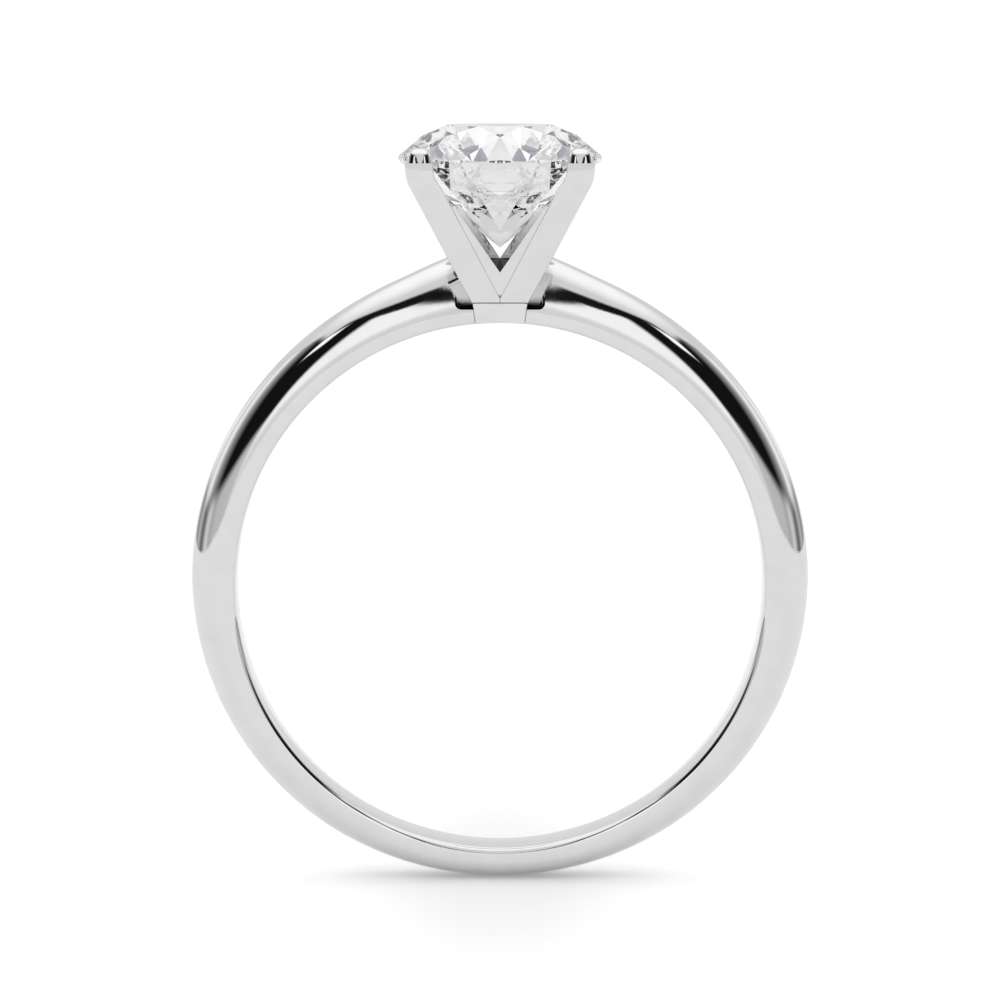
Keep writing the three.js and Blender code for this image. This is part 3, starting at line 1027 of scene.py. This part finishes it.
def notch_wedges(plan, quarter):
    """Two wedges that open the V in one side of the web: one climbs to the middle, one falls back."""
    head = plan.head
    bottom = plan.base + head.notch_height
    face = outer_face(plan, bottom) - head.recess
    flare = inner_face(plan, plan.base + head.notch_top) / (head.notch_top - head.notch_height)
    near, far, top = -head.recess, plan.reach + head.recess, plan.girdle
    wedges = []
    for rise in (head.notch_rise / face, -head.notch_fall):
        near_z, far_z = (bottom + head.notch_rise - rise * x for x in (near, far))
        wedge = block("wedge", ((near, far), (-1, 1), far_z), ((near, far), (-1, 1), top))
        edit(wedge)
        pick("FACE", faces_down)
        bpy.ops.transform.resize(value=(1, TINY, 1), center_override=(0, 0, top))
        for x, foot in ((near, near_z), (far, far_z)):
            half = flare * (top - foot) / (1 + plan.slope * rise)
            pick("VERT", lambda v: abs(v.co.x - x) < TINY and v.co.z > top - TINY)
            bpy.ops.transform.resize(value=(1, half, 1), center_override=(0, 0, top))
            pick("VERT", lambda v: abs(v.co.x - x) < TINY and v.co.z < top - TINY)
            bpy.ops.transform.translate(value=(0, 0, foot - far_z))
        close_up(WEDGE_MERGE)
        done()
        turn_piece(wedge, quarter)
        wedges.append(wedge)
    return wedges


# -------- operators


class RING_OT_shank(bpy.types.Operator):
    """Make the tapering D-section band, with its slot and pockets for the head"""

    bl_idname = "ring.shank"
    bl_label = "Shank"

    def execute(self, context):
        plan = ring_plan(context.scene)
        band = band_blank(plan)
        cut(band, *shoulder_cutters(plan))
        clean(band)
        head = plan.head
        floor = plan.bore_top + head.pocket_floor

        # Painted shade in the pockets: darkest at their floor, lighter up their walls.
        def shade_amount(centre, normal, point):
            reach = plan.slope * max(centre.z - floor - head.pocket_wall, 0) + TINY
            reach += head.base / 2 + plan.slope * (floor + head.pocket_wall - plan.base) + head.pocket_gap
            beside = abs(centre.x) < reach and abs(centre.y) > head.tongue / 2 - TINY
            inside = beside and centre.z > floor - TINY
            return inside * clamp(1 - (point.z - floor) / head.pocket_wall, low=POCKET_SHADE)

        note_painted_shade(band, shade_amount)
        metal = white_gold(context.scene.ring_finish)
        finish_piece(band, "shank", metal, smooth_angle=28)
        return {"FINISHED"}


class RING_OT_collar(bpy.types.Operator):
    """Make the collar that joins the head to the shank"""

    bl_idname = "ring.collar"
    bl_label = "Collar"

    def execute(self, context):
        plan = ring_plan(context.scene)
        head = plan.head
        narrowing = (head.collar_top - head.collar_foot) / plan.collar_height
        deep = plan.bore_top - plan.band.side_flat
        deep_half = (head.collar_foot - narrowing * plan.band.side_flat) / 2
        top_half = head.collar_top / 2
        collar = block(
            "polished_collar",
            ((-deep_half, deep_half), (-deep_half, deep_half), deep),
            ((-top_half, top_half), (-top_half, top_half), plan.collar_top),
        )
        bore = start(
            "bore",
            bpy.ops.mesh.primitive_cylinder_add,
            vertices=plan.band.steps,
            radius=plan.bore_radius,
            depth=2 * plan.width,
            location=(0, 0, plan.centre),
            rotation=(pi / 2, 0, 0),
        )
        cut(collar, bore)
        clean(collar)
        soften(collar, head.collar_edge)
        metal = white_gold(context.scene.ring_finish)
        finish_piece(collar, "head_collar", metal, smooth_angle=40)
        return {"FINISHED"}


class RING_OT_gallery(bpy.types.Operator):
    """Make the web between the prongs, with a V notch in each side"""

    bl_idname = "ring.gallery"
    bl_label = "Gallery"

    def execute(self, context):
        plan = ring_plan(context.scene)
        head = plan.head
        low, high = (edge.z for edge in box_mm("head_gallery"))
        low_half = outer_face(plan, low) - head.recess
        high_half = outer_face(plan, high) - head.recess
        web = block(
            "polished_gallery",
            ((-low_half, low_half), (-low_half, low_half), low),
            ((-high_half, high_half), (-high_half, high_half), high),
        )
        for quarter in range(4):
            bar = prong_bar(plan, head.seam)
            turn_piece(bar, quarter)
            cut(web, bar, *notch_wedges(plan, quarter))
        clean(web)
        apex = plan.base + head.notch_height
        deep = 2 * head.notch_height

        # Painted shade in the V notches: darkest at the apex on faces that look up, fading over twice the
        # notch's height.
        def shade_amount(centre, normal, point):
            return clamp(1 - (point.z - apex) / deep) * (normal.z > 0.3)

        note_painted_shade(web, shade_amount)
        metal = white_gold(context.scene.ring_finish)
        finish_piece(web, "head_gallery", metal, smooth_angle=30)
        return {"FINISHED"}


class RING_OT_prongs(bpy.types.Operator):
    """Make one prong with its seat for the stone, and copy it to the four corners"""

    bl_idname = "ring.prongs"
    bl_label = "Prongs"

    def execute(self, context):
        plan = ring_plan(context.scene)
        head = plan.head
        first = prong_bar(plan, 0)
        dome_tip(plan, first)
        cut(first, cut_stone(plan, plan.stone.seat))
        clean(first)

        # Painted shade on the prongs' inner faces: faint, deepest at their foot and gone at the upright part.
        def shade_amount(centre, normal, point):
            inwards = min(normal.x, normal.y) < -0.6 and centre.z < plan.tip
            return PRONG_SHADE * inwards * clamp((plan.upright - point.z) / head.prong)

        note_painted_shade(first, shade_amount)
        metal = white_gold(context.scene.ring_finish)
        for place, quarter in QUARTERS.items():
            prong = copy_of(first, f"polished_prong_{place}")
            turn_piece(prong, quarter)
            finish_piece(prong, f"prong_{place}", metal, smooth_angle=40)
        bpy.data.objects.remove(first)
        return {"FINISHED"}


class RING_OT_stone(bpy.types.Operator):
    """Grind the round brilliant"""

    bl_idname = "ring.stone"
    bl_label = "Stone"

    def execute(self, context):
        plan = ring_plan(context.scene)
        stone = cut_stone(plan)
        clean(stone)
        finish_piece(stone, "stone", diamond(context.scene.ring_finish))
        return {"FINISHED"}


class RING_OT_stage(bpy.types.Operator):
    """Set the pale floor, the studio round the ring, and the camera"""

    bl_idname = "ring.stage"
    bl_label = "Stage"

    def execute(self, context):
        scene = context.scene
        stage = scene.ring_stage
        plan = ring_plan(scene)
        foot = (0, 0, CAD_BOX[0].z)
        floor = start("floor", bpy.ops.mesh.primitive_plane_add, size=stage.floor_width, location=foot)
        floor.data.materials.append(sweep(stage))
        scene.world = studio(stage)

        target = Vector((0, 0, plan.centre * MM + stage.aim))
        bpy.ops.object.camera_add()
        camera = context.active_object
        camera.name = "camera"
        camera.data.lens = stage.lens
        camera.data.sensor_width = 36
        camera.data.clip_start = 0.001
        camera.data.clip_end = 100
        camera.rotation_euler = (pi / 2 - stage.tilt, 0, 0)
        camera.location = target + stage.distance * Vector((0, -cos(stage.tilt), sin(stage.tilt)))
        scene.camera = camera

        scene.view_settings.view_transform = "Standard"
        scene.view_settings.look = "None"
        scene.cycles.max_bounces = 24
        scene.cycles.glossy_bounces = 16
        scene.cycles.transmission_bounces = 20
        scene.cycles.transparent_max_bounces = 16
        return {"FINISHED"}


class RING_PT_parts(bpy.types.Panel):
    """The ring's sizes and finishes, and a button for each of its pieces"""

    bl_idname = "RING_PT_parts"
    bl_label = "Solitaire Ring"
    bl_space_type = "VIEW_3D"
    bl_region_type = "UI"
    bl_category = "Ring"

    def draw(self, context):
        for group in GROUPS:
            box = self.layout.box()
            box.label(text=group.removeprefix("ring_").title())
            settings = getattr(context.scene, group)
            for name in settings.bl_rna.properties.keys():
                if name not in {"rna_type", "name"}:
                    box.prop(settings, name)
        for operator in OPERATORS:
            self.layout.operator(operator.bl_idname)


GROUPS = {
    "ring_band": BandSettings,
    "ring_head": HeadSettings,
    "ring_stone": StoneSettings,
    "ring_finish": FinishSettings,
    "ring_stage": StageSettings,
}
OPERATORS = (
    RING_OT_shank,
    RING_OT_collar,
    RING_OT_gallery,
    RING_OT_prongs,
    RING_OT_stone,
    RING_OT_stage,
)


def register():
    for made in (*GROUPS.values(), *OPERATORS, RING_PT_parts):
        bpy.utils.register_class(made)
    for name, group in GROUPS.items():
        setattr(bpy.types.Scene, name, PointerProperty(type=group))


def unregister():
    for name in GROUPS:
        delattr(bpy.types.Scene, name)
    for made in reversed((*GROUPS.values(), *OPERATORS, RING_PT_parts)):
        bpy.utils.unregister_class(made)


def main():
    register()
    bpy.ops.ring.shank()
    bpy.ops.ring.collar()
    bpy.ops.ring.gallery()
    bpy.ops.ring.prongs()
    bpy.ops.ring.stone()
    bpy.ops.ring.stage()
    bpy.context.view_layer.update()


if __name__ == "__main__":
    main()
